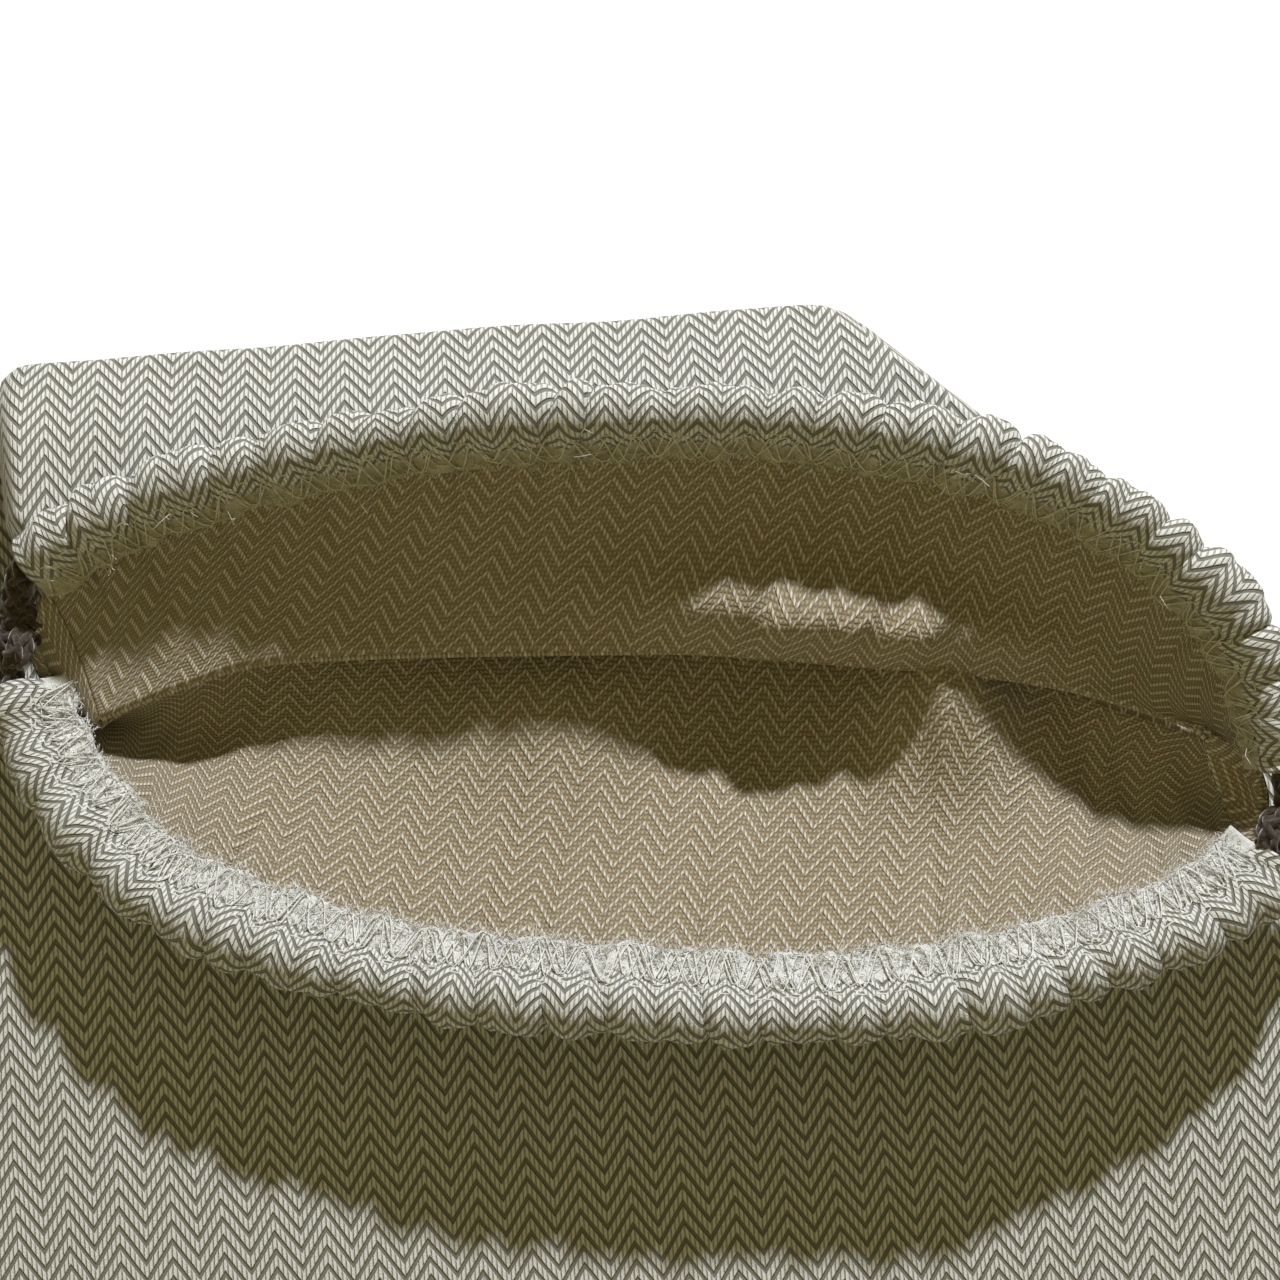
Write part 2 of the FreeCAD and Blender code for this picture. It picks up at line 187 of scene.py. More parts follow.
class Nodes:
    """Short names for building a shader."""

    def __init__(self, name, rough=0.8):
        self.material = bpy.data.materials.new(name)
        self.material.use_nodes = True
        self.tree = self.material.node_tree
        self.shader = self.tree.nodes["Principled BSDF"]
        self.shader.inputs["Roughness"].default_value = rough
        self.shader.inputs["Specular IOR Level"].default_value = 0.25

    def add(self, kind, **settings):
        node = self.tree.nodes.new(kind)
        for key, value in settings.items():
            setattr(node, key, value)
        return node

    def link(self, value, socket):
        if isinstance(value, (int, float, tuple)):
            socket.default_value = value
        else:
            self.tree.links.new(value, socket)

    def math(self, operation, a, b=0.0, c=0.0):
        node = self.add("ShaderNodeMath", operation=operation)
        for value, socket in zip((a, b, c), node.inputs):
            self.link(value, socket)
        return node.outputs[0]

    def mix(self, amount, a, b):
        node = self.add("ShaderNodeMix", data_type="RGBA")
        self.link(amount, node.inputs[0])
        self.link(a, node.inputs[6])
        self.link(b, node.inputs[7])
        return node.outputs[2]

    def ramp(self, value, low, high):
        node = self.add("ShaderNodeMapRange", interpolation_type="SMOOTHSTEP")
        self.link(value, node.inputs[0])
        self.link(low, node.inputs[1])
        self.link(high, node.inputs[2])
        return node.outputs[0]

    def noise(self, vector, scale, detail=2.0):
        node = self.add("ShaderNodeTexNoise")
        if vector is not None:
            self.link(vector, node.inputs["Vector"])
        node.inputs["Scale"].default_value = scale
        node.inputs["Detail"].default_value = detail
        return node.outputs[0]

    def bump(self, height, distance, strength=1.0):
        node = self.add("ShaderNodeBump")
        node.inputs["Distance"].default_value = distance
        node.inputs["Strength"].default_value = strength
        self.link(height, node.inputs["Height"])
        self.link(node.outputs[0], self.shader.inputs["Normal"])


# width of one warp yarn, and height of one weft pick on the inside, in mm
YARN, PICK = 0.7, 0.65


def weave_material(name, light, dark, rib=2.8, column=3.95, slope=1.45, reverse=False, edge=None):
    """Herringbone: slanted ribs of short yarn floats that turn back about every 4 mm."""
    n = Nodes(name, 0.6)
    n.shader.inputs["Sheen Weight"].default_value = 0.12
    n.shader.inputs["Sheen Roughness"].default_value = 0.4
    uv = n.add("ShaderNodeUVMap", uv_map="weave").outputs[0]
    split = n.add("ShaderNodeSeparateXYZ")
    n.link(uv, split.inputs[0])
    sway = n.math("MULTIPLY", n.math("SUBTRACT", n.noise(uv, 60.0), 0.5), 0.9)
    u = n.math("ADD", n.math("MULTIPLY", split.outputs[0], TO_MM), sway)
    v = n.math("ADD", n.math("MULTIPLY", split.outputs[1], TO_MM), n.math("MULTIPLY", sway, 0.8))
    zig = n.math("PINGPONG", u, column)
    phase = n.math("ADD", n.math("DIVIDE", v, rib), n.math("MULTIPLY", zig, slope / rib))
    hump = n.math("SINE", n.math("MULTIPLY", n.math("FRACT", phase), math.pi))
    yarn = n.math("ABSOLUTE", n.math("SINE", n.math("MULTIPLY", u, math.pi / YARN)))
    if reverse:
        line = n.ramp(hump, 0.72, 0.99)
        grain = n.ramp(yarn, 0.15, 0.85)
        pick = n.math("ABSOLUTE", n.math("SINE", n.math("MULTIPLY", v, math.pi / PICK)))
        ground = n.math("MULTIPLY", n.math("MULTIPLY", pick, yarn), 0.42)
        float_height = n.math("ADD", n.math("MULTIPLY", grain, 0.65), 0.35)
        height = n.math("MAXIMUM", n.math("MULTIPLY", line, float_height), ground)
    else:
        line = n.ramp(hump, 0.28, 0.74)
        grain = n.ramp(yarn, 0.05, 0.7)
        height = n.math("MULTIPLY", line, n.math("ADD", n.math("MULTIPLY", grain, 0.55), 0.45))
    fibre = n.noise(uv, 3500.0, 3.0)
    patch = n.noise(uv, 25.0, 3.0)
    tone = n.math("ADD", height, n.math("MULTIPLY", n.math("SUBTRACT", fibre, 0.5), 0.4))
    tone = n.math("ADD", tone, n.math("MULTIPLY", n.math("SUBTRACT", patch, 0.5), 0.16))
    colour = n.mix(n.ramp(tone, 0.02, 0.92), dark, light)
    relief = n.math("ADD", height, n.math("MULTIPLY", fibre, 0.25))
    if edge:
        # the raw edge takes the given fluff colour; for the far hem that colour is the white fluff darkened
        # and tinted olive as painted shade
        low, high, fluff_and_shade_colour = edge
        tuft = n.noise(uv, 420.0, 4.0)
        from_edge = n.math("MULTIPLY", split.outputs[1], TO_MM)
        fluff_edge_mask = n.ramp(n.math("ADD", from_edge, n.math("MULTIPLY", tuft, 2.0)), low, high)
        mottle = n.math("ADD", n.math("MULTIPLY", tuft, 0.6), n.math("MULTIPLY", fibre, 0.4))
        shaded = tuple(c * 0.72 for c in fluff_and_shade_colour[:3]) + (1,)
        bright = n.mix(n.ramp(mottle, 0.36, 0.62), shaded, fluff_and_shade_colour)
        colour = n.mix(fluff_edge_mask, colour, bright)
        soft = n.math("MULTIPLY", n.math("ADD", tuft, n.math("MULTIPLY", fibre, 0.5)), 0.9)
        keep = n.math("SUBTRACT", 1.0, fluff_edge_mask)
        relief = n.math("ADD", n.math("MULTIPLY", relief, keep), n.math("MULTIPLY", soft, fluff_edge_mask))
    n.link(colour, n.shader.inputs["Base Color"])
    n.bump(relief, 0.0004, 1.0)
    return n.material


def thread_material(name, colour, shade, scale=900.0):
    n = Nodes(name, 0.85)
    n.shader.inputs["Sheen Weight"].default_value = 0.7
    place = n.add("ShaderNodeTexCoord").outputs["Object"]
    grain = n.noise(place, scale, 3.0)
    n.link(n.mix(n.ramp(grain, 0.35, 0.65), shade, colour), n.shader.inputs["Base Color"])
    n.bump(grain, 0.0002, 0.7)
    return n.material


LIGHT, DARK = (0.86, 0.855, 0.82, 1), (0.235, 0.230, 0.185, 1)
WARM, TAN = (0.86, 0.79, 0.67, 1), (0.33, 0.265, 0.16, 1)
outer = weave_material("herringbone_outer", LIGHT, DARK)
inner = weave_material("herringbone_reverse", WARM, TAN, rib=2.1, slope=0.95, reverse=True)
# the far hem's edge colour is painted shade: the same white fluff as the near hem, darker and olive because
# that rim's inner side faces away from the key light
far_hem = weave_material("herringbone_far_hem", LIGHT, DARK, rib=2.1, column=3.6, slope=1.2,
                         edge=(-3.2, -1.4, (0.60, 0.56, 0.43, 1)))
near_hem = weave_material("herringbone_near_hem", LIGHT, DARK, rib=2.1, column=3.6, slope=1.2,
                          edge=(-4.9, -3.1, (0.88, 0.88, 0.86, 1)))
white_thread = thread_material("white_thread", (0.95, 0.95, 0.93, 1), (0.80, 0.79, 0.75, 1))
cream_thread = thread_material("cream_thread", (0.84, 0.81, 0.70, 1), (0.62, 0.58, 0.46, 1))
cord_yarn = thread_material("cord_yarn", (0.085, 0.06, 0.043, 1), (0.03, 0.021, 0.014, 1), 1400.0)

# Lines of the mouth, in mm ----------------------------------------------------------------------

COLS = 460
far_rim = smooth_line([(-93, 51, 23), (-82, 55.5, 27), (-70, 59, 30), (-49, 62, 34.5), (-24, 63.5, 39),
                       (0, 62.5, 41), (26, 60, 41), (54, 53, 38.5), (74, 43, 34.5), (88, 30, 29.5),
                       (95, 16, 24), (96.5, 5, 20)], COLS)
near_rim = smooth_line([(-97.5, 33, 16.5), (-95, 22, 17), (-88, 10, 18.5), (-74, -4, 20.5), (-40, -18, 23),
                        (-3, -24.5, 24.5), (22, -27.5, 25), (50, -26.5, 25), (78, -20, 22), (90, -14, 19),
                        (94.5, -10, 18)], COLS)
crease = smooth_line([(-84, 27, 15.5), (-70, 31, 16.5), (-53, 33.5, 17), (0, 30.5, 17.5), (18, 28.5, 17.5),
                      (33, 26, 17.5), (49, 23.5, 17), (66, 19.5, 16.5), (86, 12, 15)], COLS)
dip = np.sin(np.linspace(0, math.pi, COLS)) ** 0.5
throat = crease + np.stack([np.zeros(COLS), -1 + 6.0 * dip, -2.0 - 8.0 * dip], 1)


def section(turns):
    """The rolled casing, from the wall on the outside, over the cord, to the raw edge of the hem."""
    return smooth_line(turns, 64)


ROLL = [(-6.5, -1.2), (-4, -2.6), (-1.5, -4.0), (1.6, -4.0), (4.0, -2.2), (4.6, 0.4), (3.2, 3.0), (0.7, 4.0),
        (-1.8, 3.2), (-3.6, 1.7)]
FAR_ROLL = section(ROLL + [(-5.2, 0.8), (-6.8, 0.5)])
NEAR_ROLL = section(ROLL + [(-5.4, 0.9), (-7.4, 0.6), (-9.6, 0.5)])


def rim_frame(rim, foot, side):
    ahead = unit(np.gradient(rim, axis=0))
    out = rim - foot
    out -= np.sum(out * ahead, 1, keepdims=True) * ahead
    out = unit(out)
    up = unit(np.cross(ahead, out)) * side
    return ahead, out, up


# the gathers: spacing along the rim and depth, in mm, and the height at which a lobe neither swells nor dips
GATHER_SPACING, GATHER_DEPTH, GATHER_LEVEL = 10.5, 3.1, 0.62


def gathers(along, seed):
    """Rounded lobes between narrow creases, unevenly spaced."""
    phase = along / GATHER_SPACING + 0.35 * wobble(along, seed, 47.0) + 0.2 * wobble(along, seed + 1, 19.0)
    lobe = np.abs(np.sin(math.pi * phase)) ** 0.58
    strength = 0.65 + 0.35 * wobble(along, seed + 2, 60.0)
    return lobe * strength


def rim_cloth(name, rim, foot, side, roll, wall_rows, bow, seed, materials, ease, hills=()):
    """Wall, casing and hem of one rim, as one sheet from the foot of the wall to the raw edge.

    Each hill is a ridge on the wall: its x, half-width, share of the wall's height, spread and depth.
    """
    ahead, out, up = rim_frame(rim, foot, side)
    along = run_length(rim)
    foot_along = run_length(foot)
    start = rim + out * roll[0, 0] + up * roll[0, 1]
    rows, marks = [], []
    mark = 0.0
    span = np.linalg.norm(start - foot, axis=1).mean()
    for t in np.linspace(0, 1, wall_rows, endpoint=False):
        sag = -4 * bow * t * (1 - t)
        ripple = 1.4 * t * t * (gathers(along + 3 * t, seed) - 0.6)
        waves = 0.8 * math.sin(math.pi * t) * wobble(along + 9 * t, seed + 5, 46.0)
        shape = sag + ripple + waves
        for centre, half, low, wide, lift_by in hills:
            hill = np.exp(-((foot[:, 0] - centre) / half) ** 2) * math.exp(-((t - low) / wide) ** 2)
            shape = shape + lift_by * hill * (1 + 0.2 * wobble(along, 77, 21.0))
        rows.append(foot + (start - foot) * t + up * shape[:, None])
        marks.append(t * span)
    length = run_length(roll)
    normal = unit(np.stack([-np.gradient(roll[:, 1]), np.gradient(roll[:, 0])], 1))
    for k in range(len(roll)):
        t = k / (len(roll) - 1)
        lift = math.sin(math.pi * min(1.0, t * 1.15)) ** 0.5 if t < 0.87 else 0.45
        lift = max(lift, 0.45)
        slant = 5.0 * (t - 0.5)
        wave = gathers(along + slant, seed)
        fine = wobble(along + 2 * slant, seed + 9, 6.1)
        push = lift * (GATHER_DEPTH * (wave - GATHER_LEVEL) + 0.35 * fine)
        o = roll[k, 0] - normal[k, 0] * push
        n = roll[k, 1] - normal[k, 1] * push
        if t > 0.8:
            o = o + (t - 0.8) / 0.2 * 0.7 * wobble(along, seed + 11, 13.0)
            n = n + (t - 0.8) / 0.2 * 0.4 * wobble(along, seed + 12, 8.0)
        rows.append(rim + out * np.reshape(o, (-1, 1)) + up * np.reshape(n, (-1, 1)))
        marks.append(span + length[k])
    grid = np.array(rows)
    grid[0] += np.array([0, 1.0, -1.2])
    flat = np.zeros(grid.shape[:2] + (2,))
    share = np.minimum(np.array(marks) / span, 1)[:, None]
    centred = along - along[-1] / 2
    foot_centred = foot_along - foot_along[-1] / 2
    flat[..., 0] = ease * (share * centred[None, :] + (1 - share) * foot_centred[None, :])
    flat[..., 1] = np.array(marks)[:, None] - marks[-1]
    thing = cloth(name, grid, flat, materials)
    return thing, grid, (ahead, out, up, along)


FAR_WALL, NEAR_WALL = 40, 46
EASE = 1.05
FAR_HILLS = [(24, 26, 0.28, 0.2, 9.0), (-76, 24, 0.4, 0.4, 1.0)]
NEAR_HILLS = [(46, 9, 0.14, 0.26, 10.5), (72, 14, 0.38, 0.4, -5.0), (-14, 14, 0.2, 0.25, 3.0),
              (16, 11, 0.25, 0.25, -2.0), (-62, 20, 0.35, 0.35, -4.0)]
flap_cloth, flap_grid, flap_frame = rim_cloth("mouth_flap_cloth", far_rim, crease, 1, FAR_ROLL, FAR_WALL,
                                              2.0, 11, [inner, far_hem], EASE, FAR_HILLS)
lip_cloth, lip_grid, lip_frame = rim_cloth("front_lip_cloth", near_rim, throat, -1, NEAR_ROLL, NEAR_WALL,
                                           2.5, 31, [near_hem, inner], EASE, NEAR_HILLS)


def side_wall(name, column, bulge):
    """The pouch's side, between the two walls, from the depth of the mouth up to its corner."""
    far_side = smooth_line(flap_grid[:FAR_WALL + 4, column], 40)
    near_side = smooth_line(lip_grid[:NEAR_WALL + 4, column], 40)
    ts = np.linspace(0, 1, 16)
    grid = np.array([far_side + (near_side - far_side) * t for t in ts])
    push = np.sin(math.pi * ts)[:, None] * np.linspace(0.3, 1, 40)[None, :] * bulge
    grid[..., 0] += push
    flat = np.zeros(grid.shape[:2] + (2,))
    across = np.linalg.norm(near_side - far_side, axis=1)
    flat[..., 0] = ts[:, None] * across[None, :]
    flat[..., 1] = run_length(far_side)[None, :]
    order = [inner, outer] if column == 0 else [outer, inner]
    return cloth(name, grid, flat, order)


left_side = side_wall("left_side_cloth", 0, -2.5)
right_side = side_wall("right_side_cloth", -1, 2.0)

# Panels ---------------------------------------------------------------------------------------

# in mm: the pouch's half-width, its near end and that end's corner radius, the two folds' places and radii
HALF_WIDTH, NEAR_END, END_ROUND = 115, -85, 9.0
FOLD_Y, FOLD_Z, FOLD_RADIUS = 83.5, 4, 3.5
INNER_Y, INNER_Z, INNER_RADIUS = 78, 4.3, 1.4
INNER_LEFT, INNER_RIGHT = -97.0, 38.0


def outline_x(y, side):
    """Half-outline of the lower layers at a given y."""
    if side > 0:
        slant = 32.5 + (87 - y) * (HALF_WIDTH - 32.5) / (87 - 12)
        edge = np.minimum(HALF_WIDTH, slant)
    else:
        slant = -97 - (85 - y)
        edge = np.maximum(-HALF_WIDTH, slant)
    low = np.clip((y - NEAR_END) / END_ROUND, 0, 1)
    round_off = END_ROUND * (1 - np.sqrt(np.maximum(0, 1 - (1 - low) ** 2)))
    return edge - side * round_off


def lower_sheet(y_far, height, bulge, seed, inset):
    """A lower layer, flat in the middle, with its edges turned in to the seam."""
    ys = np.linspace(NEAR_END + inset, y_far, 190)
    ts = np.linspace(-1, 1, 260)
    ts = np.sign(ts) * (1 - (1 - np.abs(ts)) ** 1.25)
    left, right = outline_x(ys, -1) + inset, outline_x(ys, 1) - inset
    x = left[:, None] + (right - left)[:, None] * (ts[None, :] + 1) / 2
    y = np.repeat(ys[:, None], len(ts), 1)
    edge = np.minimum(x - left[:, None], right[:, None] - x)
    edge = np.minimum(edge, y - NEAR_END - inset)
    curl = np.clip(1 - edge / 3.2, 0, 1) ** 2
    z = height + bulge * curl
    ripple = 0.22 * wobble(x * 0.8 + y * 0.35, seed, 95.0) + 0.16 * wobble(y - 0.25 * x, seed + 1, 70.0)
    z = z + ripple * (1 - curl) * (1 if height > 1 else 0)
    grid = np.stack([x, y, z], -1)
    flat = np.stack([x, y], -1)
    return grid, flat


# back panel: lower layer, fold, slope and upper layer up to the crease
base_grid, base_flat = lower_sheet(FOLD_Y, 0.5, 1.0, 51, 0.0)
lower_back = cloth("lower_back_cloth", base_grid, base_flat, [inner, outer])


def fold_profile():
    """Side view of the back panel from the fold's underside to the flat top: (y, z)."""
    points = []
    for a in np.radians(np.linspace(-90, 62, 14)):
        points.append((FOLD_Y + FOLD_RADIUS * math.cos(a), FOLD_Z + FOLD_RADIUS * math.sin(a)))
    points += [(79, 10.6), (73, 13.4), (66.5, 15.0), (60, 15.9)]
    return smooth_line(points, 60)


FOLD = fold_profile()
UPPER_COLS, SLOPE_ROWS, INNER_ROWS = 300, 40, 50
t_cols = np.linspace(0, 1, UPPER_COLS)
rows, marks = [], []
fold_length = run_length(FOLD)


def upper_left(y):
    return np.interp(y, [27, 50, 80, 84.5, 86.6, 87.5], [-88, -98, -99.5, -98.5, -96, -91])


def upper_right(y):
    return np.interp(y, [12, 31, 64, 82, 85, 86.6, 87.5], [88, 92, 58.5, 40, 36.5, 33.0, 27.5])


for k, (y, z) in enumerate(FOLD):
    left = upper_left(y)
    right = upper_right(y)
    if z < 4:
        left = max(left, -99.0)
    x = left + (right - left) * t_cols
    near = np.minimum(x - left, right - x)
    drop = np.clip(1 - near / 4.0, 0, 1) ** 2
    zz = z - drop * max(0.0, z - 4.0) * 0.75
    zz = zz + 0.35 * wobble(x + 0.4 * y, 61, 58.0) * (1 if z > 8 else 0.3)
    rows.append(np.stack([x, np.full_like(x, y) + 0.4 * wobble(x, 62, 80.0), zz], -1))
    marks.append(85 + fold_length[k])
crease_even = smooth_line(crease, UPPER_COLS)
last = rows[-1]
for t in np.linspace(0, 1, SLOPE_ROWS)[1:]:
    blend_rows = last + (crease_even - last) * t
    blend_rows[:, 2] = last[:, 2] + (crease_even[:, 2] - 0.6 - last[:, 2]) * t ** 2
    blend_rows[:, 2] += 0.35 * wobble(blend_rows[:, 0] + 0.4 * blend_rows[:, 1], 61, 58.0) * (1 - t)
    hollow = 3.4 * np.exp(-((blend_rows[:, 0] + 80) / 34) ** 2)
    blend_rows[:, 2] -= hollow * math.sin(math.pi * t) ** 0.7 * (t > 0.12)
    if t == 1:
        blend_rows = crease_even.copy()
    rows.append(blend_rows)
    marks.append(marks[-1] + 0.8)
upper_grid = np.array(rows)
upper_flat = np.zeros(upper_grid.shape[:2] + (2,))
widths = np.linalg.norm(np.diff(upper_grid, axis=1), axis=2)
upper_flat[:, 1:, 0] = np.cumsum(widths, axis=1)
middle = UPPER_COLS // 2
upper_flat[..., 0] += (upper_grid[:, middle, 0] - upper_flat[:, middle, 0])[:, None]
upper_flat[..., 1] = np.array(marks)[:, None]
upper_back = cloth("upper_back_cloth", upper_grid, upper_flat, [inner, outer])

# front panel: lower layer, tight inner fold and the upper layer up to the throat
front_grid, front_flat = lower_sheet(INNER_Y, 2.9, -1.0, 71, 0.2)
lower_front = cloth("lower_front_cloth", front_grid, front_flat, [outer, inner])
rows, marks = [], []
throat_even = smooth_line(throat, UPPER_COLS)
for a in np.radians(np.linspace(-90, 90, 10)):
    y, z = INNER_Y + INNER_RADIUS * math.cos(a), INNER_Z + INNER_RADIUS * math.sin(a)
    x = INNER_LEFT + (INNER_RIGHT - INNER_LEFT) * t_cols
    rows.append(np.stack([x, np.full_like(x, y), np.full_like(x, z)], -1))
    marks.append(INNER_Y + INNER_RADIUS * (a + math.pi / 2))
last = rows[-1]
for t in np.linspace(0, 1, INNER_ROWS)[1:]:
    step = last + (throat_even - last) * t
    step[:, 2] = last[:, 2] + (throat_even[:, 2] - last[:, 2]) * t ** 3
    rows.append(step)
    marks.append(marks[-1] + 0.9)
inner_grid = np.array(rows)
inner_flat = np.zeros(inner_grid.shape[:2] + (2,))
inner_flat[..., 0] = inner_grid[..., 0]
inner_flat[..., 1] = np.array(marks)[:, None]
upper_front = cloth("upper_front_cloth", inner_grid, inner_flat, [inner, outer])

# Overlocked raw edges, stitches and loose fibres --------------------------------------------------

def on_grid(grid, up, row, position, lift):
    """A point on a cloth grid at a fractional column, raised off the cloth."""
    position = min(max(position, 0.0), grid.shape[1] - 1.001)
    i = int(position)
    f = position - i
    row = min(max(row, 0.0), grid.shape[0] - 1.001)
    r = int(row)
    g = row - r
    low = grid[r, i] * (1 - f) + grid[r, i + 1] * f
    high = grid[r + 1, i] * (1 - f) + grid[r + 1, i + 1] * f
    return low * (1 - g) + high * g + up[i] * lift


def zigzag(grid, frame_lines, first_row, last_row, period, seed, lift):
    """Overlock thread that swings between two rows of a hem."""
    _, _, up, along = frame_lines
    local = np.random.default_rng(seed)
    points = []
    s = 1.0
    high = True
    while s < along[-1] - 1:
        position = np.interp(s, along, np.arange(len(along)))
        row = (last_row if high else first_row) + local.normal(0, 0.8)
        points.append(on_grid(grid, up, row, position, lift + (0.25 if high else 0.1)))
        s += period / 2 * local.uniform(0.75, 1.25)
        high = not high
    return smooth_line(points, len(points) * 5)


def stitches(grid, frame_lines, row, length, gap, seed, lift):
    """A row of short threads, each dipping into the cloth at both ends."""
    _, _, up, along = frame_lines
    local = np.random.default_rng(seed)
    lines = []
    s = 2.0
    while s < along[-1] - 4:
        run = length * local.uniform(0.85, 1.15)
        line = []
        for t in np.linspace(0, 1, 6):
            position = np.interp(s + run * t, along, np.arange(len(along)))
            arch = 0.35 * math.sin(math.pi * t) - 0.12
            line.append(on_grid(grid, up, row + 0.4 * math.sin(s), position, lift + arch))
        lines.append(line)
        s += run + gap
    return lines


def fuzz(grid, frame_lines, row, count, reach, seed, spread):
    """Short loose fibres along a raw edge."""
    ahead, out, up, along = frame_lines
    local = np.random.default_rng(seed)
    lines = []
    for _ in range(count):
        position = local.uniform(2, len(along) - 3)
        i = int(position)
        root = on_grid(grid, up, row + local.normal(0, spread), position, local.uniform(0.1, 0.5))
        way = (-out[i] * local.uniform(-0.6, 1.4) + up[i] * local.uniform(0.1, 0.9)
               + ahead[i] * local.normal(0, 0.9))
        way = unit(way) * reach * local.uniform(0.4, 1.2)
        bend = np.array([local.normal(0, 0.35), local.normal(0, 0.35), local.normal(0, 0.35)]) * reach
        lines.append([root, root + way * 0.5 + bend * 0.5, root + way + bend * 0.3])
    return lines


far_last = flap_grid.shape[0] - 1
near_last = lip_grid.shape[0] - 1
far_edge = [zigzag(flap_grid, flap_frame, far_last - 12, far_last, period, seed, lift)
            for period, seed, lift in ((5.2, 1, 0.3), (6.3, 2, 0.4), (7.5, 3, 0.35))]
near_edge = [zigzag(lip_grid, lip_frame, near_last - 13, near_last, period, seed, lift)
             for period, seed, lift in ((4.2, 4, 0.3), (5.1, 5, 0.45), (6.3, 6, 0.4), (7.7, 7, 0.5))]
far_overlock = threads("back_overlock_thread", far_edge, 0.13, cream_thread)
near_overlock = threads("front_overlock_thread", near_edge, 0.12, white_thread)
far_fuzz = threads("back_edge_fibres",
                   fuzz(flap_grid, flap_frame, far_last - 2, 1300, 1.5, 8, 2.0)
                   + fuzz(flap_grid, flap_frame, far_last - 4, 60, 5.0, 18, 4.0), 0.075, cream_thread, 3)
near_fuzz = threads("front_edge_fibres",
                    fuzz(lip_grid, lip_frame, near_last - 4, 5200, 1.6, 9, 3.6)
                    + fuzz(lip_grid, lip_frame, near_last - 6, 120, 5.0, 19, 4.0), 0.06, white_thread, 3)
far_stitch = threads("back_stitch_line",
                     stitches(flap_grid, flap_frame, far_last - 13, 3.0, 0.5, 12, 0.2), 0.13, cream_thread)
near_stitch = threads("front_stitch_line",
                      stitches(lip_grid, lip_frame, near_last - 17, 3.0, 0.4, 13, 0.25)
                      + stitches(lip_grid, lip_frame, near_last - 15, 3.0, 0.4, 14, 0.25), 0.15, white_thread)

# Cords and knots ------------------------------------------------------------------------------

def braid(name, line, radius, turn_length, material, strands=4):
    """Two sets of strands that wind opposite ways and pass over and under each other."""
    line = np.asarray(line, float)
    run = run_length(line)
    ahead = unit(np.gradient(line, axis=0))
    side = np.zeros_like(ahead)
    side[0] = unit(np.cross(ahead[0], [0.2, 0.3, 0.93]))
    for i in range(1, len(line)):
        side[i] = unit(side[i - 1] - ahead[i] * np.dot(side[i - 1], ahead[i]))
    other = np.cross(ahead, side)
    lines = []
    for way in (1, -1):
        for k in range(strands):
            angle = way * 2 * math.pi * run / turn_length + 2 * math.pi * k / strands
            over = np.cos(strands * way * angle) * way
            reach = radius * (0.72 + 0.06 * over)
            lines.append(line + side * (reach * np.cos(angle))[:, None]
                         + other * (reach * np.sin(angle))[:, None])
    verts, faces = tube_mesh(lines, radius * 0.3, 6)
    more, extra = tube_mesh([line], radius * 0.74, 8)
    base = len(verts)
    faces += [tuple(base + i for i in face) for face in extra]
    return new_object(name, verts + more, faces, [material])


def knot_line(place, scale, tilt, count=150):
    """A small overhand knot, closed on itself."""
    t = np.linspace(0, 2 * math.pi, count)
    x = np.sin(t) + 2 * np.sin(2 * t)
    y = np.cos(t) - 2 * np.cos(2 * t)
    z = -1.25 * np.sin(3 * t)
    c, s = math.cos(tilt), math.sin(tilt)
    points = np.stack([x, y * c - z * s, y * s + z * c], 1) * scale
    return points + np.array(place)


def nurbs_points(name, points):
    """The smooth line that a cord follows through its route."""
    data = bpy.data.curves.new(name, "CURVE")
    data.dimensions = "3D"
    data.resolution_u = 24
    spline = data.splines.new("NURBS")
    spline.points.add(len(points) - 1)
    for spot, point in zip(spline.points, points):
        spot.co = (point[0] * MM, point[1] * MM, point[2] * MM, 1)
    spline.order_u = 3
    spline.use_endpoint_u = True
    thing = bpy.data.objects.new(name, data)
    bpy.context.scene.collection.objects.link(thing)
    bpy.context.view_layer.update()
    mesh = bpy.data.meshes.new_from_object(thing)
    line = np.array([v.co[:] for v in mesh.vertices])
    bpy.data.meshes.remove(mesh)
    bpy.data.objects.remove(thing)
    bpy.data.curves.remove(data)
    return line


MOUTH = np.array([0, 17.75, 17.5])
HALF = 99.7
YAW = math.radians(-13.5)
FLOOR = 2.35 - 17.5
ROUTE = [(5.4, 3.5, -0.5), (20.5, 8.0, 0.5), (36.0, 13.5, FLOOR), (46.0, 32.0, FLOOR), (42.0, 54.0, FLOOR),
         (31.0, 73.0, FLOOR)]
cord_parts = []
for side, sign in (("left", -1), ("right", 1)):
    corner = MOUTH + sign * HALF * np.array([math.cos(YAW), math.sin(YAW), 0])
    knot = braid(side + "_corner_knot", knot_line(corner, 1.35, 0.5 * sign + 0.4), 2.1, 11, cord_yarn)
    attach(knot, side + "_pull")
    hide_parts(side + "_knot")
    for end, way in (("back", 1), ("front", -1)):
        route = [corner + np.array([sign * x, way * y, z]) for x, y, z in ROUTE]
        line = nurbs_points("route", route)
        steps = run_length(line)
        even = np.linspace(0, steps[-1], 170)
        fine = np.stack([np.interp(even, steps, line[:, k]) for k in range(3)], 1)
        tail = braid("%s_tail_%s_cord" % (side, end), fine / MM, 2.25, 13, cord_yarn)
        last = np.array(route[-1]) - np.array(route[-2])
        last /= np.linalg.norm(last)
        spot = np.array(route[-1]) + last * 4.6
        spot[2] = 5.0
        stop = braid("%s_tail_%s_knot" % (side, end), knot_line(spot, 1.0, 0.3 + 0.4 * way), 1.75, 9,
                     cord_yarn)
        for piece, node in ((tail, "%s_tail_%s" % (side, end)), (stop, "%s_end_knot_%s" % (side, end))):
            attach(piece, side + "_pull")
            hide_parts(node)


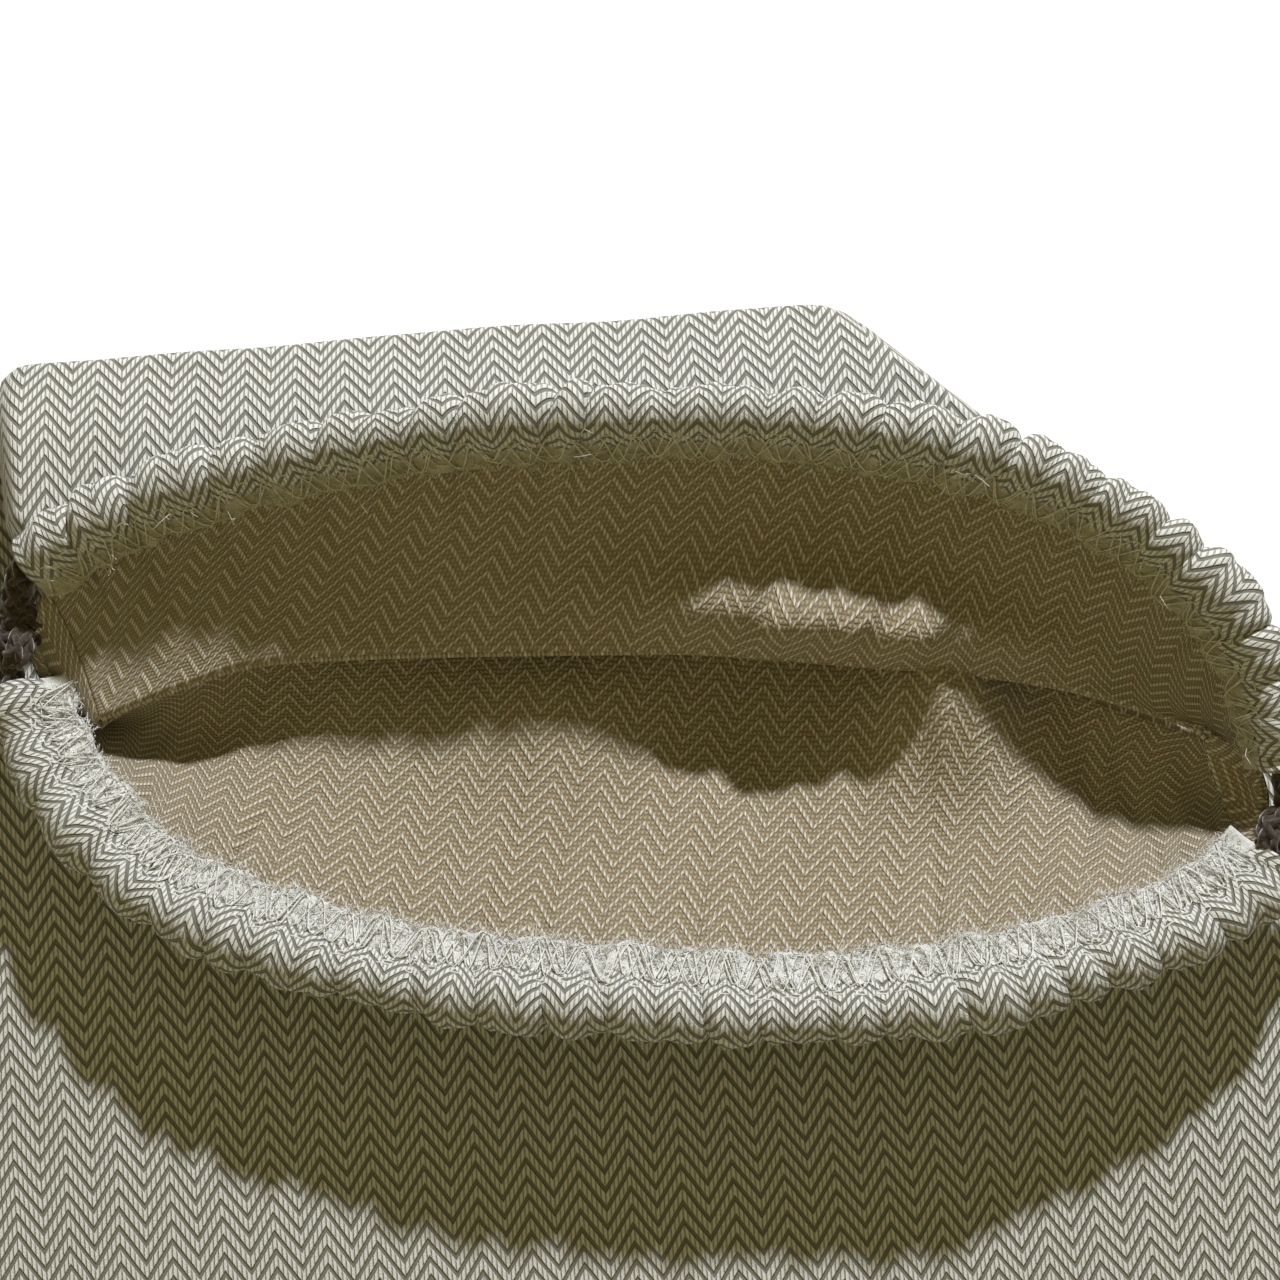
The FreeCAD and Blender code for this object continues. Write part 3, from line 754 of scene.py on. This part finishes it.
def casing_cord(name, rim):
    """The drawstring inside a casing, running on to the corner knots."""
    left = MOUTH - HALF * np.array([math.cos(YAW), math.sin(YAW), 0])
    right = MOUTH + HALF * np.array([math.cos(YAW), math.sin(YAW), 0])
    points = [left] + list(rim[::30]) + [rim[-1], right]
    return braid(name, smooth_line(points, 330), 2.25, 13, cord_yarn)


far_cord = casing_cord("back_drawstring", far_rim)
near_cord = casing_cord("front_drawstring", near_rim)

# Stage ----------------------------------------------------------------------------------------

def stage_floor():
    n = Nodes("floor", 0.9)
    n.shader.inputs["Base Color"].default_value = (0.86, 0.86, 0.85, 1)
    path = n.add("ShaderNodeLightPath")
    seen = n.math("MAXIMUM", path.outputs["Is Camera Ray"],
                  n.math("MAXIMUM", path.outputs["Is Glossy Ray"], path.outputs["Is Transmission Ray"]))
    glow = n.math("MULTIPLY", seen, 0.42)
    n.link((1, 1, 1, 1), n.shader.inputs["Emission Color"])
    n.link(glow, n.shader.inputs["Emission Strength"])
    size = 3000
    floor = new_object("floor", [(-size, -size, 0), (size, -size, 0), (size, size, 0), (-size, size, 0)],
                       [(0, 1, 2, 3)], [n.material])


def light(name, place, target, width, power, colour):
    data = bpy.data.lights.new(name, "AREA")
    data.shape = "DISK"
    data.size = width
    data.energy = power
    data.color = colour
    lamp = bpy.data.objects.new(name, data)
    bpy.context.scene.collection.objects.link(lamp)
    lamp.location = place
    ahead = np.array(target) - np.array(place)
    lamp.rotation_euler = Vector(ahead).to_track_quat("-Z", "Y").to_euler()


stage_floor()
light("key", (0.42, 1.30, 1.02), (0, 0.02, 0), 0.11, 27.5, (0.96, 0.98, 1.0))
light("fill", (-0.5, -0.9, 1.3), (0, 0, 0), 1.2, 2.7, (1.0, 0.87, 0.38))
world = bpy.data.worlds.new("world")
bpy.context.scene.world = world
world.use_nodes = True
world.node_tree.nodes["Background"].inputs[0].default_value = (1.0, 0.86, 0.38, 1)
world.node_tree.nodes["Background"].inputs[1].default_value = 0.13
bpy.context.scene.view_settings.view_transform = "Standard"

# Bodies ---------------------------------------------------------------------------------------

def cut_size(thing):
    """Width, length and area of the piece as cut flat, from its weave layer, in metres."""
    layer = thing.data.uv_layers["weave"]
    spots = np.empty(len(layer.data) * 2)
    layer.data.foreach_get("uv", spots)
    spots = spots.reshape(-1, 2)
    width, length = spots.max(0) - spots.min(0)
    area = 0.0
    for face in thing.data.polygons:
        corners = spots[face.loop_start:face.loop_start + face.loop_total]
        x, y = corners[:, 0], corners[:, 1]
        area += abs(np.dot(x, np.roll(y, -1)) - np.dot(y, np.roll(x, -1))) / 2
    # both faces of the sheet carry the layer, so the area is counted twice
    return float(width), float(length), float(area) / 2


def declare(thing):
    width, length, area = cut_size(thing)


for thing in (lip_cloth, lower_back, upper_back, lower_front, upper_front, left_side, right_side):
    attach(thing, "pouch")
for thing in (near_overlock, near_fuzz, near_stitch):
    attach(thing, "pouch")
for thing in (far_overlock, far_fuzz, far_stitch):
    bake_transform(thing)
declare(lower_back)
declare(lower_front)
declare(upper_front)
declare(upper_back)
declare(lip_cloth)
declare(flap_cloth)
declare(left_side)
declare(right_side)
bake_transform(flap_cloth)
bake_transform(far_cord)
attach(near_cord, "pouch")
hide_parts("back_flap", "back_casing", "back_hem")
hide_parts("front_lip", "front_casing", "front_hem")
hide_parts("back_panel")
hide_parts("front_panel")
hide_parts("left_side_seam")
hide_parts("right_side_seam")
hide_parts("back_hem_edge")
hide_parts("front_hem_edge")
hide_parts("back_hem_stitch")
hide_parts("front_hem_stitch")
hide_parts("back_cord")
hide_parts("front_cord")
for node in ("left_seam_allowance", "right_seam_allowance", "bottom_seam_allowance"):
    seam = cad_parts[node]
    seam.data.materials.clear()
    seam.data.materials.append(cream_thread)
